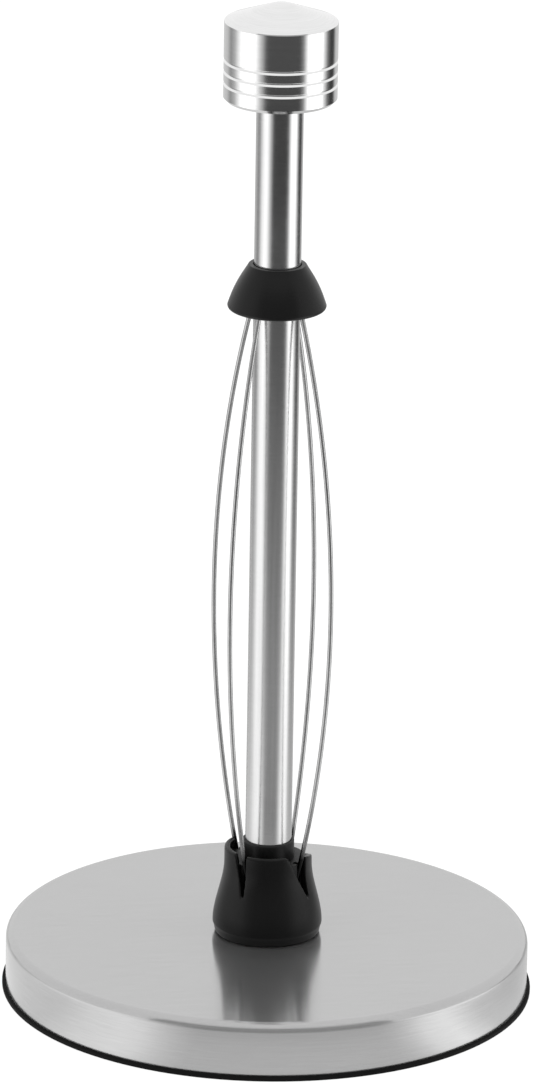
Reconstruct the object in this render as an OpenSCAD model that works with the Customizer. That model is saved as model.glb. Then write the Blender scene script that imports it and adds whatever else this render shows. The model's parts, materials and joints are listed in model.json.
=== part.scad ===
// Upright paper towel holder: a weighted round base, a steel pole with a turned
// finial, and a cage of four bowed spring wires between two black collars.
// The cage turns on the pole with the roll, and the upper collar slides up a
// little when the cardboard core presses the wires flat.
// Origin: middle of the underside of the base. +Z is up, -Y is the front.

/* [Base] */
// Diameter of the steel base cover
base_d = 179.4; // [150:0.2:200]
// Height of the top of the base above the table
base_h = 20; // [19:0.5:28]
// Thickness of the base cover's sheet steel
cover_t = 1; // [0.8:0.1:1.5]
// Radius of the base cover's rounded top edge
cover_edge_r = 3; // [1.5:0.1:4]
// Outer diameter of the rubber ring under the base
grip_ring_d = 181.8; // [180.6:0.2:182.6]
// Thickness of the rubber ring where it shows below the cover
grip_ring_t = 1.7; // [1:0.1:3]
// Diameter of the cast weight
weight_d = 160; // [120:1:170]
// Thickness of the cast weight
weight_t = 10; // [6:0.5:12]

/* [Pole] */
// Outside diameter of the pole
pole_d = 15.9; // [15.9:0.1:16]
// Wall thickness of the pole's tube
pole_wall = 1; // [0.8:0.1:1.5]

/* [Finial] */
// Diameter of the finial
finial_d = 38.2; // [34:0.2:40]
// Height of the finial's underside above the table
finial_z = 315.3; // [310:0.1:330]
// Height of the finial's straight side
finial_side_h = 27.7; // [26:0.1:32]
// Height of the shallow cone on top of the finial
finial_cone_h = 6.6; // [3:0.1:8]
// Number of turned grooves around the finial
groove_count = 3; // [1:1:4]
// Distance from one groove to the next
groove_pitch = 4; // [3:0.1:5]

/* [Lower collar] */
// Largest radius of the lower collar
lower_r = 18.8; // [17:0.1:20]
// Height of the tops of three of the petals above the table
petal_z = 51; // [49:0.1:53]
// How much lower the middle of the right-hand petal is than the others
low_petal_drop = 3.9; // [0:0.1:5]
// Slope of the right-hand petal's top, falling to the back
low_petal_tilt = 16; // [0:1:20]
// Height of the bottom of the slots between the petals
slot_z = 34; // [33:0.5:39]
// Width at the top of the front right and back left slots
wide_slot_w = 8; // [4:0.1:8.5]
// Width at the top of the front left and back right slots
narrow_slot_w = 4.8; // [4:0.1:8]

/* [Wires] */
// Diameter of the spring wires
wire_d = 1.6; // [1.2:0.1:2]
// Radius of the cage at its widest
bow_r = 24.4; // [22:0.1:26]
// Height at which the cage is widest
bow_z = 138.4; // [135:0.1:143]
// Bending radius of each wire's long bow
bow_bend_r = 386.5; // [380:0.5:395]

/* [Upper collar] */
// Height of the underside of the upper collar
upper_z = 243; // [241:0.5:245]
// Height of the upper collar
upper_h = 15.5; // [14:0.1:17]
// Radius of the upper collar's lower edge
upper_r = 16.7; // [15.5:0.1:18]
// Radius of the upper collar's flat top
upper_top_r = 9.9; // [8.8:0.1:10.4]

/* [Hidden] */
$fn = 96;
cut = 0.5;                 // how far a cutting shape runs past the face it opens
fit_gap = 0.05;            // radial gap of pressed, screwed and seated pieces
running_gap = 0.08;        // radial gap of the parts that turn or slide on the pole

// Base
cover_r = base_d / 2;
ring_r = grip_ring_d / 2;
ring_lip_h = 3;            // height of the ring's lip inside the cover
ring_lip_t = 1.6;          // thickness of that lip
ring_seat_w = 8;           // width of the ring's flat seat
plate_t = 1.6;
plate_access_r = 12;       // hole in the bottom plate over the bolt's head
weight_z = base_h - cover_t - weight_t;
recess_r = 11;             // pocket in the weight for the bolt's head and washers
recess_h = weight_t / 2;

// Bolt, washers and the plug in the foot of the pole
bolt_r = 4;
bolt_head_af = 13;
bolt_head_h = 5.3;
bolt_reach = 14;           // how far the bolt screws into the foot plug
bolt_clear = 0.3;
flat_washer_t = 1.6;
flat_washer_r = 8.5;
lock_washer_t = 2;
lock_washer_r = 6.8;
flat_washer_z = weight_z + recess_h - flat_washer_t;
lock_washer_z = flat_washer_z - lock_washer_t;
pole_r = pole_d / 2;
pole_bore_r = pole_r - pole_wall;
plug_h = 20;

// Finial
finial_r = finial_d / 2;
pole_top_z = finial_z + 5; // the pole ends inside a recess in the finial
finial_edge_r = 0.8;       // rounding of the shoulder
finial_foot = 1.2;           // bevel at the finial's foot
finial_apex_r = 12;         // rounding of the cone's tip
finial_wall = 1.4;         // thickness of the metal cap
finial_lip_w = 3;          // width of the cap's rim turned in under the core
groove_w = 1.5;
groove_depth = 0.45;
first_groove_z = finial_z + 6.1;
stud_r = 3;
stud_z = pole_top_z - 15;
stud_h = 31;
seat_washer_t = 0.8;

// Lower collar, hub and the rings inside it
washer_h = 0.5;
skirt_gap = 0.25;          // collar's skirt clears the base by this much
collar_z = base_h + skirt_gap;
hub_z = base_h + washer_h + fit_gap;
hub_r = 13;
hub_top_z = 47;
hub_bore_r = pole_r + running_gap;
sleeve_r = 8.9;
sleeve_z = 53.6;
socket_gap = 0.1;
socket_z = 26;              // bottom of the sockets for the wires' tails
channel_z = 37;             // above this the wires run in channels open to the outside
channel_gap = 0.15;
foot_r = 17.9;             // radius of the collar where it meets the base
neck_r = 15;               // radius of the petals near their tops
collar_bore_r = hub_r + fit_gap;
rim_round = 0.5;           // rounding of the petals' top edge
snap_z = base_h + 3;
snap_t = 1.2;
snap_in_r = pole_r - 0.4;
snap_out_r = pole_r + 1;
drag_z = base_h + 8;
drag_t = 2;
drag_r = pole_r + 1.9;

// Wires: a long bow with a short opposite bend at each end, then a straight tail
wire_r = wire_d / 2;
tail_bend_r = 20;
low_tail_r = 11.6;         // distance of the lower tails from the pole's axis
high_tail_r = 10.2;        // distance of the upper tails from the pole's axis
bow_centre_r = bow_r - bow_bend_r;
low_angle = acos((low_tail_r + tail_bend_r - bow_centre_r) / (bow_bend_r + tail_bend_r));
high_angle = acos((high_tail_r + tail_bend_r - bow_centre_r) / (bow_bend_r + tail_bend_r));
low_tail_z = bow_z - (bow_bend_r + tail_bend_r) * sin(low_angle);
high_tail_z = bow_z + (bow_bend_r + tail_bend_r) * sin(high_angle);
low_tail_h = 9;
high_tail_h = 5.5;
back_right_turn = 45;      // each wire's direction round the pole
back_left_turn = 135;
front_left_turn = 225;
front_right_turn = 315;

// Upper collar
bush_z = upper_z + 2;
bush_h = 7.5;
bush_r = 12;
bush_socket_h = 6.5;
cap_bore_r = pole_r + 0.3;
upper_edge_r = 1.2;
upper_bulge = 0.7;          // how far the collar's side bulges past a straight cone

// Points along an arc in the plane of a turned profile, from angle a0 to a1
function arc(cx, cy, r, a0, a1, steps = 8) =
    [for (i = [0 : steps]) let (a = a0 + (a1 - a0) * i / steps) [cx + r * cos(a), cy + r * sin(a)]];

// A ring standing on height z
module ring(r_out, r_in, z, h) {
    translate([0, 0, z])
        difference() {
            cylinder(r = r_out, h = h);
            translate([0, 0, -cut]) cylinder(r = r_in, h = h + 2 * cut);
        }
}

// A threaded insert pressed into the pole, with its threads left plain
module plug(z, hole_r) {
    ring(pole_bore_r - fit_gap / 2, hole_r, z, plug_h);
}

// ---- base ----

module grip_ring() {
    lip_r = cover_r - cover_t - fit_gap;
    color("#141414")
        rotate_extrude($fn = 180)
            polygon(concat(
                [[ring_r - ring_seat_w, 0]],
                arc(ring_r - 0.6, 0.6, 0.6, -90, 0),
                arc(ring_r - 0.4, grip_ring_t - 0.4, 0.4, 0, 90),
                [[lip_r, grip_ring_t],
                 [lip_r, grip_ring_t + ring_lip_h],
                 [lip_r - ring_lip_t, grip_ring_t + ring_lip_h],
                 [lip_r - ring_lip_t, grip_ring_t],
                 [ring_r - ring_seat_w, grip_ring_t]]));
}

module bottom_plate() {
    plate_r = cover_r - cover_t - ring_lip_t - 2 * fit_gap;
    color("#202020") ring(plate_r, plate_access_r, grip_ring_t, plate_t);
}

module base_weight() {
    color("#3a3a3c")
        difference() {
            translate([0, 0, weight_z]) cylinder(d = weight_d, h = weight_t, $fn = 180);
            translate([0, 0, weight_z - cut]) cylinder(r = recess_r, h = recess_h + cut);
            translate([0, 0, weight_z]) cylinder(r = bolt_r + bolt_clear, h = weight_t + cut);
        }
}

module base_cover() {
    inner_edge_r = cover_edge_r - cover_t;
    edge_x = cover_r - cover_edge_r;
    edge_z = base_h - cover_edge_r;
    color("#c2c3c4")
        rotate_extrude($fn = 180)
            polygon(concat(
                [[bolt_r + bolt_clear, base_h - cover_t],
                 [bolt_r + bolt_clear, base_h]],
                arc(edge_x, edge_z, cover_edge_r, 90, 0, 12),
                [[cover_r, grip_ring_t],
                 [cover_r - cover_t, grip_ring_t]],
                arc(edge_x, edge_z, inner_edge_r, 0, 90)));
}

module base_bolt() {
    color("#8f9092") {
        translate([0, 0, lock_washer_z - bolt_head_h])
            cylinder(d = bolt_head_af / cos(30), h = bolt_head_h, $fn = 6);
        translate([0, 0, lock_washer_z - cut])
            cylinder(r = bolt_r, h = base_h + bolt_reach - lock_washer_z + cut);
    }
}

module flat_washer() {
    color("#a5a6a8") ring(flat_washer_r, bolt_r + bolt_clear, flat_washer_z, flat_washer_t);
}

module lock_washer() {
    color("#77787a")
        difference() {
            ring(lock_washer_r, bolt_r + bolt_clear, lock_washer_z, lock_washer_t);
            translate([bolt_r, -0.5, lock_washer_z - cut]) cube([4, 1, lock_washer_t + 2 * cut]);
        }
}

// ---- pole ----

module foot_plug() {
    color("#8f9092") plug(base_h, bolt_r + fit_gap);
}

module pole() {
    color("#cfd0d2")
        difference() {
            ring(pole_r, pole_bore_r, base_h, pole_top_z - base_h);
            ring(pole_r + cut, snap_in_r - fit_gap, snap_z - fit_gap, snap_t + 2 * fit_gap);
        }
}

module thrust_washer() {
    color("#e8e6df") ring(hub_r - 0.5, pole_r + 0.2, base_h, washer_h);
}

module snap_ring() {
    color("#606163")
        difference() {
            ring(snap_out_r, snap_in_r, snap_z, snap_t);
            translate([snap_in_r - 1, -1, snap_z - cut]) cube([4, 2, snap_t + 2 * cut]);
        }
}

// ---- lower collar and cage ----

module wire_hub() {
    channel_w = 2 * (wire_r + channel_gap);
    color("#161616")
        difference() {
            union() {
                translate([0, 0, hub_z]) cylinder(r = hub_r, h = hub_top_z - hub_z);
                rotate_extrude()
                    polygon(concat(
                        [[pole_r, hub_top_z - 1], [sleeve_r, hub_top_z - 1]],
                        arc(sleeve_r - 0.5, sleeve_z - 0.5, 0.5, 0, 90),
                        [[pole_r, sleeve_z]]));
            }
            translate([0, 0, hub_z - cut]) cylinder(r = hub_bore_r, h = sleeve_z - hub_z + 2 * cut);
            translate([0, 0, snap_z - 0.4]) cylinder(r = snap_out_r + 0.3, h = snap_t + 0.8);
            translate([0, 0, drag_z - fit_gap]) cylinder(r = drag_r + fit_gap, h = drag_t + 2 * fit_gap);
            for (turn = [back_right_turn : 90 : front_right_turn])
                rotate([0, 0, turn]) {
                    translate([low_tail_r, 0, socket_z])
                        cylinder(r = wire_r + socket_gap, h = channel_z - socket_z + cut, $fn = 32);
                    translate([low_tail_r - channel_w / 2, -channel_w / 2, channel_z])
                        cube([hub_r, channel_w, hub_top_z - channel_z + cut]);
                }
        }
}

module drag_ring() {
    color("#0e0e0e") ring(drag_r, pole_r + fit_gap, drag_z, drag_t);
}

// Outline of the lower collar: undercut foot, flared skirt, upright petals
module lower_collar_body() {
    widest_z = collar_z + 3.4;
    neck_z = petal_z - 5.5;
    rotate_extrude()
        polygon(concat(
            [[collar_bore_r, collar_z], [foot_r, collar_z]],
            arc(foot_r + 0.4, widest_z, lower_r - foot_r - 0.4, -68, 0, 6),
            [for (i = [1 : 10]) let (t = i / 10)
                [lower_r - (lower_r - neck_r) * t * t * (3 - 2 * t),
                 widest_z + (neck_z - widest_z) * t]],
            arc(neck_r - rim_round, petal_z - rim_round, rim_round, 0, 90, 4),
            arc(collar_bore_r + 0.3, petal_z - 0.3, 0.3, 90, 180, 3)));
}

// One slot: upright on the wire's side, slanting away on the other
module petal_slot(slot_w) {
    upright = 1.2;
    top = petal_z + cut;
    top_w = slot_w * (top - slot_z) / (petal_z - slot_z);
    rotate([90, 0, 90])
        linear_extrude(height = lower_r + 2)
            polygon([[upright, slot_z], [upright, top], [upright - top_w, top]]);
}

// What is cut off the right-hand petal: a quarter turn, under a sloping plane
module low_petal_cut() {
    reach = lower_r + 2;
    intersection() {
        rotate([0, 0, front_right_turn])
            rotate_extrude(angle = 90) translate([0, slot_z]) square([reach, petal_z - slot_z + cut]);
        translate([0, 0, petal_z - low_petal_drop])
            rotate([-low_petal_tilt, 0, 0])
                translate([0, -reach, 0]) cube([reach, 2 * reach, petal_z]);
    }
}

module lower_collar() {
    color("#1c1c1c")
        difference() {
            lower_collar_body();
            rotate([0, 0, back_right_turn]) petal_slot(narrow_slot_w);
            rotate([0, 0, back_left_turn]) petal_slot(wide_slot_w);
            rotate([0, 0, front_left_turn]) petal_slot(narrow_slot_w);
            rotate([0, 0, front_right_turn]) petal_slot(wide_slot_w);
            low_petal_cut();
        }
}

// One wire in the +X half plane, swept as exact arcs and straight tails. The
// bends are a hair thicker and run a little way over the ends of bow and tails.
module wire_shape() {
    bend_over = 1.2;
    thick_r = wire_r + 0.02;
    low_centre_r = bow_centre_r + (bow_bend_r + tail_bend_r) * cos(low_angle);
    high_centre_r = bow_centre_r + (bow_bend_r + tail_bend_r) * cos(high_angle);
    wire_arc([bow_centre_r, bow_z], bow_bend_r, wire_r, -low_angle, high_angle);
    wire_arc([low_centre_r, low_tail_z], tail_bend_r, thick_r, 180 - low_angle - bend_over, 180 + bend_over);
    wire_arc([high_centre_r, high_tail_z], tail_bend_r, thick_r,
             180 - bend_over, 180 + high_angle + bend_over);
    translate([low_tail_r, 0, low_tail_z - low_tail_h]) cylinder(r = wire_r, h = low_tail_h, $fn = 32);
    translate([high_tail_r, 0, high_tail_z]) cylinder(r = wire_r, h = high_tail_h, $fn = 32);
}

// A stretch of wire bent to a radius in the XZ plane, between two angles
module wire_arc(centre, bend_r, r, from_angle, to_angle) {
    translate([centre[0], 0, centre[1]])
        rotate([90, 0, 0])
            rotate([0, 0, from_angle])
                rotate_extrude(angle = to_angle - from_angle, $fn = 720)
                    translate([bend_r, 0]) circle(r = r, $fn = 32);
}

module wire(turn) {
    color("#b4b5b7") rotate([0, 0, turn]) wire_shape();
}

module wire_front_left() { wire(front_left_turn); }
module wire_front_right() { wire(front_right_turn); }
module wire_back_left() { wire(back_left_turn); }
module wire_back_right() { wire(back_right_turn); }

// ---- upper collar ----

module upper_bush() {
    color("#161616")
        difference() {
            translate([0, 0, bush_z]) cylinder(r = bush_r, h = bush_h);
            translate([0, 0, bush_z - cut]) cylinder(r = pole_r + running_gap, h = bush_h + 2 * cut);
            for (turn = [back_right_turn : 90 : front_right_turn])
                rotate([0, 0, turn])
                    translate([high_tail_r, 0, bush_z - cut])
                        cylinder(r = wire_r + socket_gap, h = bush_socket_h + cut, $fn = 32);
        }
}

// A bell-shaped cap: flat top, gently bulging side, thin rounded lower edge
module upper_collar() {
    top_z = upper_z + upper_h;
    color("#1c1c1c")
        rotate_extrude()
            polygon(concat(
                [[bush_r + fit_gap, upper_z]],
                arc(upper_r - upper_edge_r, upper_z + upper_edge_r, upper_edge_r, -90, 0, 5),
                [for (i = [1 : 11]) let (t = i / 12)
                    [upper_r - (upper_r - upper_top_r) * t + upper_bulge * sin(180 * t),
                     upper_z + upper_edge_r + (upper_h - upper_edge_r - 0.4) * t]],
                arc(upper_top_r - 0.4, top_z - 0.4, 0.4, 15, 90, 3),
                [[cap_bore_r, top_z],
                 [cap_bore_r, bush_z + bush_h + fit_gap],
                 [bush_r + fit_gap, bush_z + bush_h + fit_gap]]));
}

// ---- finial ----

module top_plug() {
    color("#8f9092") plug(pole_top_z - plug_h, stud_r + fit_gap);
}

module finial_stud() {
    color("#9a9b9d") translate([0, 0, stud_z]) cylinder(r = stud_r, h = stud_h);
}

module seat_washer() {
    color("#e8e6df") ring(pole_r, stud_r + bolt_clear, pole_top_z, seat_washer_t);
}

// Moulded core that carries the thread and fills the metal cap
module finial_core() {
    core_r = finial_r - finial_wall - fit_gap;
    core_z = finial_z + finial_wall + fit_gap;
    neck_h = finial_wall + fit_gap;
    top_z = finial_z + finial_side_h - finial_wall;
    color("#1a1a1a")
        difference() {
            union() {
                translate([0, 0, core_z]) cylinder(r = core_r, h = top_z - core_z);
                translate([0, 0, finial_z + 0.4])
                    cylinder(r = core_r - finial_lip_w, h = neck_h);
            }
            translate([0, 0, finial_z - cut])
                cylinder(r = pole_r + 0.15, h = pole_top_z + seat_washer_t - finial_z + cut);
            translate([0, 0, finial_z])
                cylinder(r = stud_r + fit_gap, h = stud_z + stud_h + 0.5 - finial_z);
        }
}

// Turned metal cap: rim rolled under the core, grooves, shoulder and low cone
module finial_cap() {
    side_top = finial_z + finial_side_h;
    apex_z = side_top + finial_cone_h;
    slope = atan(finial_cone_h / (finial_r - finial_edge_r));
    inner_r = finial_r - finial_wall;
    rim_r = inner_r - finial_lip_w;
    color("#c8c9cb")
        difference() {
            rotate_extrude($fn = 128)
                polygon(concat(
                    [[rim_r, finial_z + finial_wall],
                     [rim_r, finial_z]],
                    [[finial_r - finial_foot, finial_z],
                     [finial_r, finial_z + finial_foot]],
                    arc(finial_r - finial_edge_r, side_top - finial_edge_r, finial_edge_r, 0, 90 - slope, 5),
                    arc(0, apex_z - finial_apex_r / cos(slope), finial_apex_r, 90 - slope, 90, 4),
                    [[0, side_top + 1 - finial_wall],
                     [inner_r, side_top + 1 - finial_wall],
                     [inner_r, finial_z + finial_wall]]));
            for (i = [0 : groove_count - 1])
                translate([0, 0, first_groove_z + i * groove_pitch])
                    rotate_extrude($fn = 128)
                        polygon([[finial_r + 0.2, -groove_w / 2 - 0.2],
                                 [finial_r - groove_depth, 0],
                                 [finial_r + 0.2, groove_w / 2 + 0.2]]);
        }
}

grip_ring();
bottom_plate();
base_weight();
base_cover();
base_bolt();
flat_washer();
lock_washer();
foot_plug();
pole();
thrust_washer();
snap_ring();
wire_hub();
drag_ring();
lower_collar();
wire_front_left();
wire_front_right();
wire_back_left();
wire_back_right();
upper_bush();
upper_collar();
top_plug();
finial_stud();
seat_washer();
finial_core();
finial_cap();
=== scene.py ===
"""Upright paper towel holder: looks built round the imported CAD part, in metres and in its frame."""
import json
import math

import bpy
import numpy as np
from mathutils import Matrix, Vector


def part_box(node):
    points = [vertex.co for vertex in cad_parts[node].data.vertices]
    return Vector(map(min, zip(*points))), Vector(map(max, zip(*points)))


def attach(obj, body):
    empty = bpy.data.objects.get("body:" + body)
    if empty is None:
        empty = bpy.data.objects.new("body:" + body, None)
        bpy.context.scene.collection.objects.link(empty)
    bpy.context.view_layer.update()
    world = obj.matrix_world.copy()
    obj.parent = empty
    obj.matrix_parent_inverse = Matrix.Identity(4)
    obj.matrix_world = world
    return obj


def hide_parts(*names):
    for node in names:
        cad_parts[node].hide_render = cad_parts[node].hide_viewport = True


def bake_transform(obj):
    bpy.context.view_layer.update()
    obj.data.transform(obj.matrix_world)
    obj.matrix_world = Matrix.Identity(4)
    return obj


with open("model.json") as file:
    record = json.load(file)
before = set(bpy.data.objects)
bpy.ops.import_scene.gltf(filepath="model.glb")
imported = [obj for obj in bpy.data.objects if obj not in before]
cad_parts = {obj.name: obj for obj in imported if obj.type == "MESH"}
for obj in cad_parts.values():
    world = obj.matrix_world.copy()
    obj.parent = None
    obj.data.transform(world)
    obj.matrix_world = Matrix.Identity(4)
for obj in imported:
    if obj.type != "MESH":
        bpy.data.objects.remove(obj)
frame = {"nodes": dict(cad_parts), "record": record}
bpy.context.view_layer.update()
nodes = frame["nodes"]
scene = bpy.context.scene
scene.view_settings.view_transform = "Standard"
scene.view_settings.look = "None"

MM = 0.001
CAGE = "cage"               # the body of the hub, the lower collar and the wires
PETAL_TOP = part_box("lower_collar")[1].z


# ---------------------------------------------------------------- camera
CAMERA_AZIMUTH = math.radians(-9.7)
CAMERA_ELEVATION = math.radians(17.88)
CAMERA_ROLL = math.radians(0.926)
CAMERA_DISTANCE = 2.909
CAMERA_LENS = 284.3
LOOK_HEIGHT = 0.18          # the camera stands CAMERA_DISTANCE from this point of the axis
AIM_RIGHT = -2.22 * MM      # and aims this far beside it
AIM_UP = -19.78 * MM


def add_camera():
    back = Vector((
        math.sin(CAMERA_AZIMUTH) * math.cos(CAMERA_ELEVATION),
        -math.cos(CAMERA_AZIMUTH) * math.cos(CAMERA_ELEVATION),
        math.sin(CAMERA_ELEVATION),
    ))
    right = Vector((math.cos(CAMERA_AZIMUTH), math.sin(CAMERA_AZIMUTH), 0))
    up = back.cross(right)
    pivot = Vector((0, 0, LOOK_HEIGHT))
    place = pivot + back * CAMERA_DISTANCE
    away = (place - (pivot + right * AIM_RIGHT + up * AIM_UP)).normalized()
    right = (right - away * right.dot(away)).normalized()
    up = away.cross(right)
    roll = Matrix.Rotation(CAMERA_ROLL, 3, away)
    right = roll @ right
    up = roll @ up
    data = bpy.data.cameras.new("main_camera")
    data.lens = CAMERA_LENS
    data.sensor_width = 36
    data.clip_start = 0.05
    data.clip_end = 60
    camera = bpy.data.objects.new("main_camera", data)
    camera.matrix_world = Matrix((
        (right.x, up.x, away.x, place.x),
        (right.y, up.y, away.y, place.y),
        (right.z, up.z, away.z, place.z),
        (0, 0, 0, 1),
    ))
    scene.collection.objects.link(camera)
    scene.camera = camera


add_camera()


# ---------------------------------------------------------------- node helpers
def grey(value):
    return (value, value, value, 1)


class Graph:
    """The node tree of a material or the world, with short ways to add nodes to it."""

    def __init__(self, tree):
        self.tree = tree
        tree.nodes.clear()

    def set(self, socket, value):
        if isinstance(value, bpy.types.NodeSocket):
            self.tree.links.new(value, socket)
        else:
            socket.default_value = value

    def add(self, kind, out=0, props=None, **inputs):
        """Add a node and return one output. Inputs go by name, or as i0, i1 ... by number."""
        node = self.tree.nodes.new("ShaderNode" + kind)
        for key, value in (props or {}).items():
            setattr(node, key, value)
        for key, value in inputs.items():
            by_number = key[0] == "i" and key[1:].isdigit()
            self.set(node.inputs[int(key[1:]) if by_number else key.replace("_", " ")], value)
        return node.outputs[out]

    def output(self, shader, kind="OutputMaterial"):
        node = self.tree.nodes.new("ShaderNode" + kind)
        self.tree.links.new(shader, node.inputs["Surface"])

    def surface(self, **inputs):
        self.output(self.add("BsdfPrincipled", **inputs))

    def math(self, operation, a, b=0.0):
        return self.add("Math", props={"operation": operation}, i0=a, i1=b)

    def plus(self, a, b):
        return self.math("ADD", a, b)

    def times(self, a, b):
        return self.math("MULTIPLY", a, b)

    def weigh(self, share, a, b):
        """This share of a and the rest of b."""
        return self.plus(self.times(a, share), self.times(b, 1 - share))

    def spread(self, value, low, high, to_low, to_high):
        """The value, taken from low..high to to_low..to_high and kept inside."""
        return self.add("MapRange", i0=value, i1=low, i2=high, i3=to_low, i4=to_high)

    def vary(self, noise, low, high, reach=0.2):
        """A noise, which stays mostly within reach of a half, taken to low..high."""
        return self.spread(noise, 0.5 - reach, 0.5 + reach, low, high)

    def ramp(self, value, stops):
        """A ramp of greys; stops are (position, grey), both from 0 to 1."""
        node = self.tree.nodes.new("ShaderNodeValToRGB")
        elements = node.color_ramp.elements
        while len(elements) < len(stops):
            elements.new(1.0)
        for element, (position, level) in zip(elements, stops):
            element.position = position
            element.color = grey(level)
        self.tree.links.new(value, node.inputs[0])
        return node.outputs[0]

    def coords(self):
        return self.add("TexCoord", out="Object")

    def split(self, vector):
        node = self.tree.nodes.new("ShaderNodeSeparateXYZ")
        self.tree.links.new(vector, node.inputs[0])
        return tuple(node.outputs)

    def join(self, x, y, z):
        return self.add("CombineXYZ", i0=x, i1=y, i2=z)

    def grey(self, value):
        return self.join(value, value, value)

    def radius(self, x, y):
        """The distance from the Z axis."""
        return self.math("SQRT", self.plus(self.times(x, x), self.times(y, y)))

    def stretch(self, vector, factors):
        return self.add("VectorMath", props={"operation": "MULTIPLY"}, i0=vector, i1=factors)

    def noise(self, vector, scale, detail=3, roughness=0.6, distortion=0.0):
        return self.add("TexNoise", Vector=vector, Scale=scale, Detail=detail, Roughness=roughness,
                        Distortion=distortion)

    def mix(self, factor, a, b):
        """Colours or vectors a and b mixed; 6 and 7 are a Mix node's colour inputs, 2 its colour output."""
        return self.add("Mix", out=2, props={"data_type": "RGBA"}, i0=factor, i6=a, i7=b)

    def bump(self, height, strength, distance):
        return self.add("Bump", Height=height, Strength=strength, Distance=distance)


def new_material(name, viewport_grey=0.8):
    material = bpy.data.materials.new(name)
    material.use_nodes = True
    material.diffuse_color = grey(viewport_grey)
    return material, Graph(material.node_tree)


# ---------------------------------------------------------------- materials
def brushed_base():
    """Base cover: straight brushing along X on the top, brushing round the side."""
    material, g = new_material("brushed_base_steel", 0.55)
    at = g.coords()
    x, y, z = g.split(at)
    upward = g.split(g.add("NewGeometry", out="Normal"))[2]
    on_top = g.spread(upward, 0.35, 0.8, 0.0, 1.0)
    top_at = g.join(g.times(x, 0.012), y, 0.0)
    side_at = g.stretch(at, (0.02, 0.02, 1))
    grain_at = g.mix(on_top, side_at, top_at)
    fine = g.noise(grain_at, scale=5200, roughness=0.65)
    coarse = g.noise(grain_at, scale=1300)
    blotch = g.noise(at, scale=22, roughness=0.55)
    grain = g.weigh(0.75, fine, coarse)
    tone = g.plus(g.vary(grain, -0.035, 0.035, reach=0.25), g.vary(blotch, -0.01, 0.01))
    rough = g.plus(g.vary(grain, -0.03, 0.04, reach=0.25), g.vary(blotch, 0.145, 0.175))
    along_z, along_y = (0, 0, 1, 1), (0, 1, 0, 1)
    g.surface(Base_Color=g.grey(g.plus(tone, 0.48)), Metallic=0.9, Roughness=rough, Anisotropic=0.88,
              Tangent=g.mix(on_top, along_z, along_y), Normal=g.bump(grain, 0.06, 0.03 * MM))
    return material


def polished_pole():
    """Pole: polished round, with faint streaks along it from the drawing of the tube."""
    material, g = new_material("polished_pole_steel", 0.6)
    at = g.coords()
    round_grain = g.noise(g.stretch(at, (0.05, 0.05, 1)), scale=4200)
    streak = g.noise(g.stretch(at, (1, 1, 0.02)), scale=900)
    blotch = g.noise(at, scale=45, roughness=0.5)
    value = g.plus(g.vary(streak, 0.60, 0.66), g.vary(round_grain, -0.02, 0.02))
    rough = g.plus(g.vary(round_grain, 0.16, 0.22, reach=0.25), g.vary(blotch, -0.015, 0.02, reach=0.15))
    g.surface(Base_Color=g.grey(value), Metallic=1.0, Roughness=rough, Anisotropic=0.6,
              Tangent=(0, 0, 1), Normal=g.bump(round_grain, 0.05, 0.02 * MM))
    return material


def turned_finial():
    """Finial: turning marks round the side and in rings on the cone."""
    material, g = new_material("turned_finial_steel", 0.6)
    at = g.coords()
    x, y, z = g.split(at)
    around = g.join(g.times(x, 0.03), g.times(y, 0.03), g.plus(z, g.radius(x, y)))
    fine = g.noise(around, scale=5000)
    wide = g.noise(around, scale=1300, detail=2)
    blotch = g.noise(at, scale=60, roughness=0.5)
    grain = g.weigh(0.6, fine, wide)
    rough = g.plus(g.vary(grain, 0.08, 0.14, reach=0.25), g.vary(blotch, -0.01, 0.015, reach=0.15))
    g.surface(Base_Color=g.grey(g.vary(grain, 0.76, 0.86, reach=0.25)), Metallic=1.0, Roughness=rough,
              Anisotropic=0.6, Tangent=(0, 0, 1), Normal=g.bump(grain, 0.1, 0.03 * MM))
    return material


def spring_wire():
    """Drawn wire, with painted shade that darkens it where it goes down between the petals."""
    material, g = new_material("drawn_wire_steel", 0.5)
    at = g.coords()
    draw = g.noise(g.stretch(at, (1, 1, 0.03)), scale=2600)
    spots = g.noise(at, scale=260)
    drawn = g.plus(g.vary(draw, 0.42, 0.52), g.vary(spots, -0.03, 0.02, reach=0.15))
    height = g.split(at)[2]
    # painted shade: the wire's colour falls to a twentieth from 4 mm above the petals' top to 2 mm below it
    painted_petal_shade = g.spread(height, PETAL_TOP - 2 * MM, PETAL_TOP + 4 * MM, 0.05, 1.0)
    g.surface(Base_Color=g.grey(g.times(drawn, painted_petal_shade)), Metallic=1.0,
              Roughness=g.vary(draw, 0.2, 0.32), Normal=g.bump(draw, 0.15, 0.02 * MM))
    return material


def moulded(name, tone, rough, speck=2600, strength=0.25, depth=0.04 * MM, specular=0.5):
    """Moulded plastic or rubber: fine spark texture, faint flow and rubbed patches."""
    material, g = new_material(name, tone[1])
    at = g.coords()
    texture = g.noise(at, scale=speck)
    flow = g.noise(g.stretch(at, (1, 1, 0.35)), scale=70, detail=4, distortion=0.4)
    g.surface(Base_Color=g.grey(g.vary(g.weigh(0.35, texture, flow), *tone)),
              Roughness=g.plus(g.vary(flow, *rough), g.vary(texture, -0.04, 0.04)),
              Specular_IOR_Level=specular, Normal=g.bump(texture, strength, depth))
    return material


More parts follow.
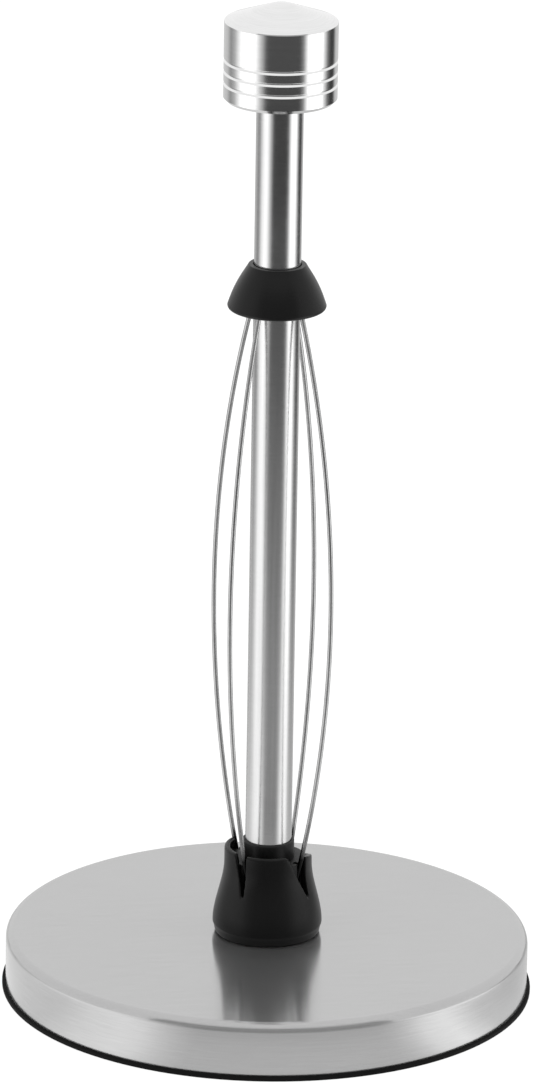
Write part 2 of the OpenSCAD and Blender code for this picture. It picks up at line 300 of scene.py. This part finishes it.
def mottled(name, tone, rough, scale, tint, metallic=1.0, strength=0.2):
    """Plated or cast metal and natural nylon: mottled colour, roughness and bump."""
    material, g = new_material(name, tone[1])
    at = g.coords()
    mottle = g.noise(at, scale=scale, detail=4, roughness=0.65)
    cloud = g.noise(at, scale=scale * 0.06, roughness=0.55)
    value = g.vary(g.weigh(0.5, mottle, cloud), *tone)
    g.surface(Base_Color=g.join(*(g.times(value, share) for share in tint)), Metallic=metallic,
              Roughness=g.vary(mottle, *rough), Normal=g.bump(mottle, strength, 0.06 * MM))
    return material


MATERIALS = {
    "base_steel": brushed_base(),
    "pole_steel": polished_pole(),
    "finial_steel": turned_finial(),
    "wire_steel": spring_wire(),
    "collar_plastic": moulded("moulded_collar_plastic", (0.0025, 0.0045), (0.28, 0.38), specular=0.22),
    "hub_plastic": moulded("moulded_hub_nylon", (0.004, 0.008), (0.42, 0.55), specular=0.28),
    "grip_rubber": moulded("ring_rubber", (0.003, 0.008), (0.6, 0.8), speck=1500, strength=0.5,
                           depth=0.08 * MM, specular=0.08),
    "drag_rubber": moulded("drag_ring_rubber", (0.006, 0.014), (0.55, 0.75), speck=1800, strength=0.5,
                           depth=0.06 * MM, specular=0.35),
    "plate_plastic": moulded("plate_plastic", (0.014, 0.026), (0.5, 0.65), speck=900, strength=0.5,
                             depth=0.1 * MM),
    "weight_iron": mottled("cast_iron_weight", (0.10, 0.20), (0.56, 0.70), scale=420,
                           tint=(1, 0.99, 0.97), metallic=0.9, strength=0.7),
    "fastener_steel": mottled("zinc_plated_steel", (0.42, 0.56), (0.26, 0.40), scale=800,
                              tint=(1, 1, 1.02)),
    "washer_nylon": mottled("natural_nylon", (0.66, 0.78), (0.39, 0.53), scale=600,
                            tint=(1, 0.98, 0.93), metallic=0.0),
}
for row in frame["record"]["subparts"]:
    slots = nodes[row["node"]].data.materials
    slots.clear()
    slots.append(MATERIALS[row["material_slot"]])


# ---------------------------------------------------------------- mesh helpers
def add_mesh(name, vertices, faces, material, smooth=True):
    mesh = bpy.data.meshes.new(name)
    mesh.from_pydata(vertices, [], faces)
    mesh.update()
    mesh.materials.append(material)
    mesh.polygons.foreach_set("use_smooth", [smooth] * len(mesh.polygons))
    piece = bpy.data.objects.new(name, mesh)
    scene.collection.objects.link(piece)
    return piece


def apply_modifiers(piece):
    bpy.context.view_layer.update()
    made = bpy.data.meshes.new_from_object(piece.evaluated_get(bpy.context.evaluated_depsgraph_get()))
    piece.modifiers.clear()
    piece.data = made


# ---------------------------------------------------------------- wires
WIRE_R = 0.8 * MM
END_CHAMFER = 0.15 * MM
END_LIFT = 0.01 * MM        # keeps the lower end just inside the box of its CAD wire
BOW_R = 24.4 * MM           # distance of the bow's middle from the axis, at BOW_Z
BOW_Z = 138.4 * MM
BOW_BEND = 386.5 * MM       # bend radius of the bow
TAIL_BEND = 20 * MM         # bend radius between the bow and each straight tail
LOW_TAIL_R = 11.6 * MM      # distance of the tails from the axis
HIGH_TAIL_R = 10.2 * MM
WIRE_AROUND = 20            # points round a wire
WIRES = {"wire_back_right": 45, "wire_back_left": 135, "wire_front_left": 225, "wire_front_right": 315}


def bend_radius(tail_r, a):
    """Distance from the axis after an angle a of the bend that joins a tail to the bow."""
    return tail_r + TAIL_BEND * (1 - math.cos(a))


def wire_path(low_end, high_end):
    """Centreline in the wire's own plane: (distance from the axis, height, heading above the radius)."""
    upright = math.pi / 2
    centre = BOW_R - BOW_BEND
    reach = BOW_BEND + TAIL_BEND
    low = math.acos((LOW_TAIL_R + TAIL_BEND - centre) / reach)
    high = math.acos((HIGH_TAIL_R + TAIL_BEND - centre) / reach)
    low_z = BOW_Z - reach * math.sin(low)
    high_z = BOW_Z + reach * math.sin(high)
    path = [(LOW_TAIL_R, z, upright) for z in np.linspace(low_end, low_z, 6)[:-1]]
    for a in np.linspace(0, low, 10)[:-1]:
        path.append((bend_radius(LOW_TAIL_R, a), low_z + TAIL_BEND * math.sin(a), upright - a))
    for a in np.linspace(-low, high, 90):
        path.append((centre + BOW_BEND * math.cos(a), BOW_Z + BOW_BEND * math.sin(a), upright + a))
    for a in np.linspace(high, 0, 10)[1:]:
        path.append((bend_radius(HIGH_TAIL_R, a), high_z - TAIL_BEND * math.sin(a), upright + a))
    path += [(HIGH_TAIL_R, z, upright) for z in np.linspace(high_z, high_end, 5)[1:]]
    return path


def ring_points(r, z, heading, size, turn):
    """One ring of points round the centreline, in the wire's plane turned by turn about the axis."""
    points = []
    for k in range(WIRE_AROUND):
        b = 2 * math.pi * k / WIRE_AROUND
        out = size * math.cos(b)
        side = size * math.sin(b)
        radius = r + out * math.sin(heading)
        points.append((
            radius * math.cos(turn) - side * math.sin(turn),
            radius * math.sin(turn) + side * math.cos(turn),
            z - out * math.cos(heading),
        ))
    return points


def add_wire(node, turn):
    low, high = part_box(node)
    rings = [(r, z, heading, WIRE_R) for r, z, heading in wire_path(low.z + END_LIFT, high.z)]
    r, z, heading, size = rings[0]
    rings[:1] = [(r, z, heading, size - END_CHAMFER), (r, z + END_CHAMFER, heading, size)]
    r, z, heading, size = rings[-1]
    rings[-1:] = [(r, z - END_CHAMFER, heading, size), (r, z, heading, size - END_CHAMFER)]
    vertices = [point for ring in rings for point in ring_points(*ring, turn)]
    top = len(vertices) - WIRE_AROUND
    faces = []
    for a in range(0, top, WIRE_AROUND):
        for k in range(WIRE_AROUND):
            n = (k + 1) % WIRE_AROUND
            faces.append((a + k, a + n, a + WIRE_AROUND + n, a + WIRE_AROUND + k))
    faces.append(tuple(reversed(range(WIRE_AROUND))))
    faces.append(tuple(range(top, len(vertices))))
    piece = add_mesh(node + "_spring", vertices, faces, MATERIALS["wire_steel"])
    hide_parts(node)
    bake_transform(piece)


for wire_node, wire_turn in WIRES.items():
    add_wire(wire_node, math.radians(wire_turn))


# ---------------------------------------------------------------- moulded lower collar
COLLAR_VOXEL = 0.34 * MM
COLLAR_RELAX_STEPS = 12


def add_lower_collar():
    """The CAD collar remeshed finely and relaxed, which rounds its edges as a mould does."""
    piece = bpy.data.objects.new("lower_collar_moulded", nodes["lower_collar"].data.copy())
    scene.collection.objects.link(piece)
    remesh = piece.modifiers.new("fine", "REMESH")
    remesh.mode = "VOXEL"
    remesh.voxel_size = COLLAR_VOXEL
    remesh.use_smooth_shade = True
    relax = piece.modifiers.new("relax", "SMOOTH")
    relax.factor = 0.5
    relax.iterations = COLLAR_RELAX_STEPS
    apply_modifiers(piece)
    piece.data.materials.clear()
    piece.data.materials.append(MATERIALS["collar_plastic"])
    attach(piece, CAGE)
    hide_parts("lower_collar")


add_lower_collar()


# ---------------------------------------------------------------- stage
FLOOR_HALF = 8.0
FLOOR_GLOW = 0.93
CARD_HALF = 3.0
CARD_DROP = 0.4 * MM        # the card lies this far under the floor
FRONT_FLAG_RADIUS = 2.6
FRONT_FLAG_HEIGHT = 2.3
FRONT_FLAG_FROM = -50       # degrees from the camera's direction, to the right
FRONT_FLAG_TO = 55
FRONT_FLAG_GLOW = 0.42
SOFTBOX_TARGET = Vector((0, 0, 0.17))

# What upright polished surfaces mirror of the table: (degrees from the camera's direction, to the right,
# and brightness). BESIDE shows in the side of the base, NEAR low in the pole, FAR in its top and the finial.
BESIDE = [
    (-180, 0.7), (-130, 0.8), (-88, 1.0), (-65, 1.0), (-52, 1.3), (-40, 1.42), (-24, 1.2),
    (36, 1.1), (45, 1.4), (55, 1.6), (61, 1.3), (68, 1.0), (85, 0.8), (135, 0.6), (180, 0.7)]
NEAR = [
    (-180, 0.7), (-130, 0.8), (-100, 0.95), (-80, 1.35), (-45, 1.4), (-33, 0.95),
    (47, 0.95), (60, 1.5), (88, 1.5), (104, 0.7), (135, 0.6), (180, 0.7)]
FAR = [
    (-180, 0.75), (-135, 0.6), (-120, 0.3), (-105, 0.5), (-80, 1.6), (-58, 1.7), (-42, 0.7),
    (-30, 0.16), (-20, 0.06), (36, 0.06), (47, 0.3), (62, 1.9), (84, 2.2), (97, 0.9),
    (108, 0.2), (118, 0.05), (130, 0.06), (142, 0.6), (180, 0.75)]
# In front of the object the table darkens with distance instead: (metres from the axis, brightness).
FRONT = [
    (0.0, 0.9), (0.126, 0.84), (0.162, 0.3), (0.276, 0.38), (0.396, 0.34), (0.66, 0.19),
    (0.78, 0.13), (0.948, 0.09), (1.08, 0.045), (1.146, 0.045), (1.17, 0.085), (1.2, 0.085)]
FRONT_END = 1.2
FRONT_LEFT = (-34.2, -19.8)     # degrees over which FRONT takes over, and gives way again
FRONT_RIGHT = (34.2, 46.8)
BESIDE_TO_NEAR = (0.125, 0.15)  # metres from the axis over which one list passes into the next
NEAR_TO_FAR = (0.12, 0.75)
BRIGHTEST = 4.0                 # a ramp holds 0 to 1, so it holds a brightness divided by this


def only_seen_by(obj, camera=False, glossy=False, diffuse=False, shadow=False):
    obj.visible_camera = camera
    obj.visible_glossy = glossy
    obj.visible_diffuse = diffuse
    obj.visible_shadow = shadow
    obj.visible_transmission = False
    obj.visible_volume_scatter = False


def flat_sheet(name, half, z, material):
    corners = [(-half, -half, z), (half, -half, z), (half, half, z), (-half, half, z)]
    sheet = add_mesh(name, corners, [(0, 1, 2, 3)], material, smooth=False)
    return sheet


def glow(name, strength_in):
    """A material that only glows, as strongly as strength_in(graph) says."""
    material, g = new_material(name)
    g.output(g.add("Emission", Color=grey(1), Strength=strength_in(g)))
    return material


def pale_floor():
    material, g = new_material("pale_floor")
    diffuse = g.add("BsdfDiffuse", Color=grey(0.12))
    lit = g.add("Emission", Color=grey(1), Strength=FLOOR_GLOW)
    g.output(g.add("AddShader", i0=diffuse, i1=lit))
    return material


def as_turn(degrees):
    """Degrees from -180 to 180 as a place from 0 to 1 on a ramp."""
    return (degrees + 180) / 360


def table_reflection(g):
    """Brightness of the card: BESIDE, NEAR and FAR by distance, and FRONT in front."""
    x, y, _ = g.split(g.coords())
    angle = g.math("ARCTAN2", x, g.times(y, -1.0))
    turn = g.plus(g.times(angle, 1 / (2 * math.pi)), 0.5)
    distance = g.radius(x, y)
    beside, near, far = (
        g.ramp(turn, [(as_turn(degrees), level / BRIGHTEST) for degrees, level in pairs])
        for pairs in (BESIDE, NEAR, FAR))
    along_pole = g.mix(g.spread(distance, *NEAR_TO_FAR, 0.0, 1.0), near, far)
    around = g.mix(g.spread(distance, *BESIDE_TO_NEAR, 0.0, 1.0), beside, along_pole)
    fade = g.ramp(g.math("DIVIDE", distance, FRONT_END), [(d / FRONT_END, level) for d, level in FRONT])
    in_front = g.times(g.spread(turn, *map(as_turn, FRONT_LEFT), 0.0, 1.0),
                       g.spread(turn, *map(as_turn, FRONT_RIGHT), 1.0, 0.0))
    elsewhere = g.math("SUBTRACT", 1.0, in_front)
    return g.plus(g.times(g.times(around, BRIGHTEST), elsewhere), g.times(fade, in_front))


def add_front_flag(steps=24):
    """An upright curved card in front, unseen by the camera, which darkens what the collars mirror."""
    flag_material = glow("front_flag", lambda g: FRONT_FLAG_GLOW)
    vertices = []
    for i in range(steps + 1):
        a = CAMERA_AZIMUTH + math.radians(FRONT_FLAG_FROM + (FRONT_FLAG_TO - FRONT_FLAG_FROM) * i / steps)
        for z in (0.0, FRONT_FLAG_HEIGHT):
            vertices.append((FRONT_FLAG_RADIUS * math.sin(a), -FRONT_FLAG_RADIUS * math.cos(a), z))
    faces = [(2 * i, 2 * i + 2, 2 * i + 3, 2 * i + 1) for i in range(steps)]
    flag = add_mesh("front_flag", vertices, faces, flag_material, smooth=False)
    only_seen_by(flag, glossy=True, diffuse=True)


def add_softbox(name, place, size, power):
    data = bpy.data.lights.new(name, "AREA")
    data.shape = "RECTANGLE"
    data.size, data.size_y = size
    data.energy = power
    lamp = bpy.data.objects.new(name, data)
    lamp.location = place
    lamp.rotation_mode = "QUATERNION"
    lamp.rotation_quaternion = (Vector(place) - SOFTBOX_TARGET).to_track_quat("Z", "Y")
    scene.collection.objects.link(lamp)
    lamp.visible_camera = False
    lamp.visible_glossy = False


def white_room():
    world = bpy.data.worlds.new("white_room")
    world.use_nodes = True
    g = Graph(world.node_tree)
    g.output(g.add("Background", Color=grey(1), Strength=1.0), "OutputWorld")
    return world


floor = flat_sheet("floor", FLOOR_HALF, 0.0, pale_floor())
only_seen_by(floor, camera=True, diffuse=True, shadow=True)
card = flat_sheet("table_card", CARD_HALF, -CARD_DROP, glow("table_card", table_reflection))
card.rotation_euler = (0, 0, CAMERA_AZIMUTH)
only_seen_by(card, glossy=True)
add_front_flag()
add_softbox("left_softbox", (-1.5, -0.7, 1.3), (1.5, 1.5), 9)
add_softbox("right_softbox", (1.4, -0.5, 1.2), (1.4, 1.5), 9)
add_softbox("top_softbox", (0.1, 0.9, 1.9), (1.4, 1.0), 14)
scene.world = white_room()

bpy.context.view_layer.update()
